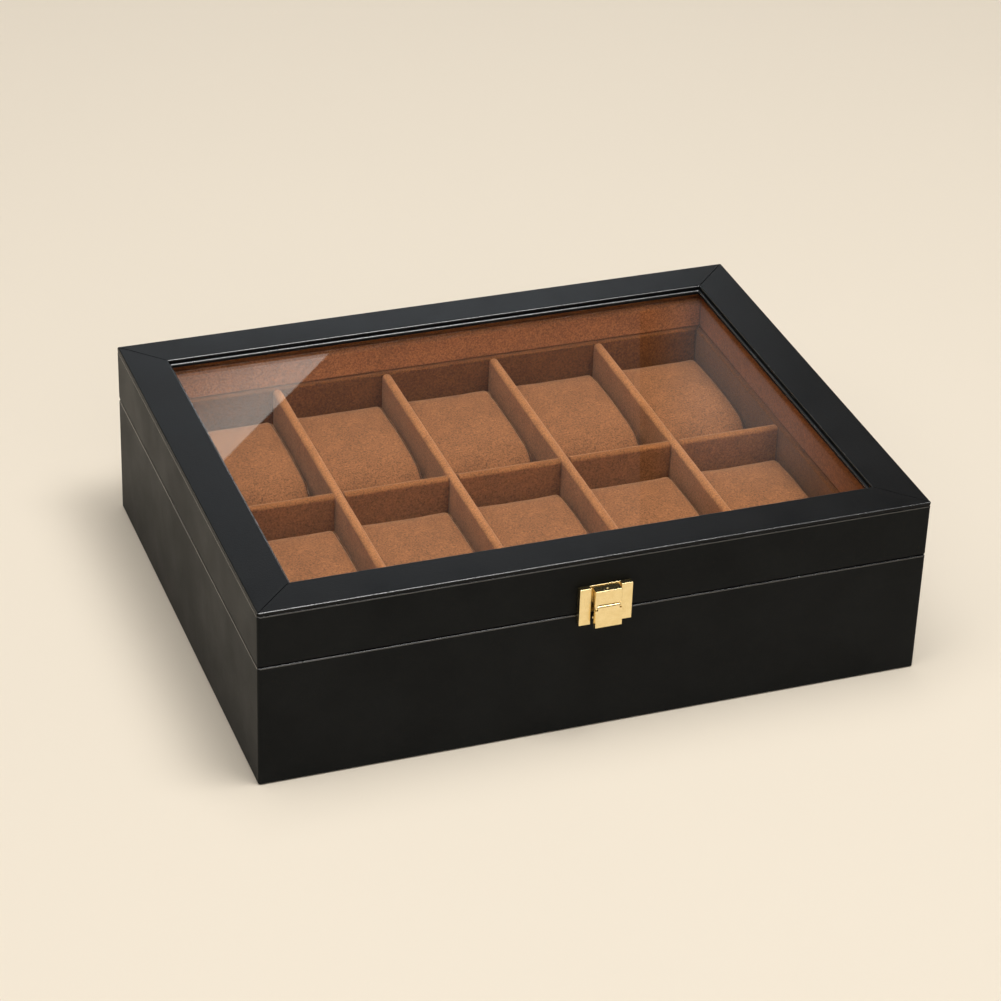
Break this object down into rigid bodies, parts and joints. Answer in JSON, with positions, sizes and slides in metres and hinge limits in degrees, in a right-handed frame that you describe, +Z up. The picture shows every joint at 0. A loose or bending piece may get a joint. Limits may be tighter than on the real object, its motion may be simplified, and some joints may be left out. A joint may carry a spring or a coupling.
{
  "type": "watch box with a glazed hinged lid",
  "caption": "Flat black leatherette watch box with a glazed hinged lid, suede compartments with removable cushions, and a small brass flip latch on the front.",
  "frame": {"origin": "centre of the felt underside, where the box stands on a table", "axes": "+Z up, +X to the right along the latch side, -Y towards the latch side"},
  "size_m": [0.31, 0.2475, 0.088],
  "materials": {
    "black_leather": "smooth fine-grained black leatherette",
    "tan_suede": "matt tan suede cloth with a short nap",
    "raw_board": "plain fibreboard, hidden under the covering",
    "black_felt": "matt black felt",
    "brass": "satin, pale gold",
    "steel": "plain steel pins and spring",
    "clear_glass": "clear, polished"
  },
  "bodies": {
    "base": {"base_board_back": "raw_board", "base_board_front": "raw_board", "base_board_left": "raw_board", "base_board_right": "raw_board", "base_bottom_board": "raw_board", "base_leather_wrap": "black_leather", "hinge_left_base_leaf": "brass", "hinge_left_pin": "steel", "hinge_right_base_leaf": "brass", "hinge_right_pin": "steel", "latch_keeper": "brass", "tray_cross_divider_1": "tan_suede", "tray_cross_divider_2": "tan_suede", "tray_cross_divider_3": "tan_suede", "tray_cross_divider_4": "tan_suede", "tray_floor": "tan_suede", "tray_long_divider": "tan_suede", "tray_wall_back": "tan_suede", "tray_wall_front": "tan_suede", "tray_wall_left": "tan_suede", "tray_wall_right": "tan_suede", "underside_felt": "black_felt"},
    "lid": {"glass_bead_back": "tan_suede", "glass_bead_front": "tan_suede", "glass_bead_left": "tan_suede", "glass_bead_right": "tan_suede", "glass_pane": "clear_glass", "hinge_left_lid_leaf": "brass", "hinge_right_lid_leaf": "brass", "latch_block": "brass", "latch_housing": "brass", "latch_pin": "steel", "latch_rivet": "brass", "latch_spring": "steel", "lid_board_back": "raw_board", "lid_board_front": "raw_board", "lid_board_left": "raw_board", "lid_board_right": "raw_board", "lid_leather_wrap": "black_leather", "lid_liner_back": "tan_suede", "lid_liner_front": "tan_suede", "lid_liner_left": "tan_suede", "lid_liner_right": "tan_suede", "lid_rail_back": "black_leather", "lid_rail_front": "black_leather", "lid_rail_left": "black_leather", "lid_rail_right": "black_leather", "window_lip": "black_leather"},
    "latch_lever": {"latch_lever": "brass"},
    "watch_cushion_1": {"watch_cushion_1": "tan_suede"},
    "watch_cushion_10": {"watch_cushion_10": "tan_suede"},
    "watch_cushion_2": {"watch_cushion_2": "tan_suede"},
    "watch_cushion_3": {"watch_cushion_3": "tan_suede"},
    "watch_cushion_4": {"watch_cushion_4": "tan_suede"},
    "watch_cushion_5": {"watch_cushion_5": "tan_suede"},
    "watch_cushion_6": {"watch_cushion_6": "tan_suede"},
    "watch_cushion_7": {"watch_cushion_7": "tan_suede"},
    "watch_cushion_8": {"watch_cushion_8": "tan_suede"},
    "watch_cushion_9": {"watch_cushion_9": "tan_suede"}
  },
  "joints": [
    {"name": "lid_hinge", "type": "hinge", "parent": "base", "child": "lid", "pos_m": [0, 0.1182, 0.0605], "axis": [-1, 0, 0], "range_deg": [0, 100]},
    {"name": "latch_lever_hinge", "type": "hinge", "parent": "lid", "child": "latch_lever", "pos_m": [0, -0.126, 0.0662], "axis": [-1, 0, 0], "range_deg": [0, 80]},
    {"name": "watch_cushion_1_lift", "type": "slide", "parent": "base", "child": "watch_cushion_1", "axis": [0, 0, 1], "range_m": [0, 0.028]},
    {"name": "watch_cushion_2_lift", "type": "slide", "parent": "base", "child": "watch_cushion_2", "axis": [0, 0, 1], "range_m": [0, 0.028]},
    {"name": "watch_cushion_3_lift", "type": "slide", "parent": "base", "child": "watch_cushion_3", "axis": [0, 0, 1], "range_m": [0, 0.028]},
    {"name": "watch_cushion_4_lift", "type": "slide", "parent": "base", "child": "watch_cushion_4", "axis": [0, 0, 1], "range_m": [0, 0.028]},
    {"name": "watch_cushion_5_lift", "type": "slide", "parent": "base", "child": "watch_cushion_5", "axis": [0, 0, 1], "range_m": [0, 0.028]},
    {"name": "watch_cushion_6_lift", "type": "slide", "parent": "base", "child": "watch_cushion_6", "axis": [0, 0, 1], "range_m": [0, 0.028]},
    {"name": "watch_cushion_7_lift", "type": "slide", "parent": "base", "child": "watch_cushion_7", "axis": [0, 0, 1], "range_m": [0, 0.028]},
    {"name": "watch_cushion_8_lift", "type": "slide", "parent": "base", "child": "watch_cushion_8", "axis": [0, 0, 1], "range_m": [0, 0.028]},
    {"name": "watch_cushion_9_lift", "type": "slide", "parent": "base", "child": "watch_cushion_9", "axis": [0, 0, 1], "range_m": [0, 0.028]},
    {"name": "watch_cushion_10_lift", "type": "slide", "parent": "base", "child": "watch_cushion_10", "axis": [0, 0, 1], "range_m": [0, 0.028]}
  ]
}
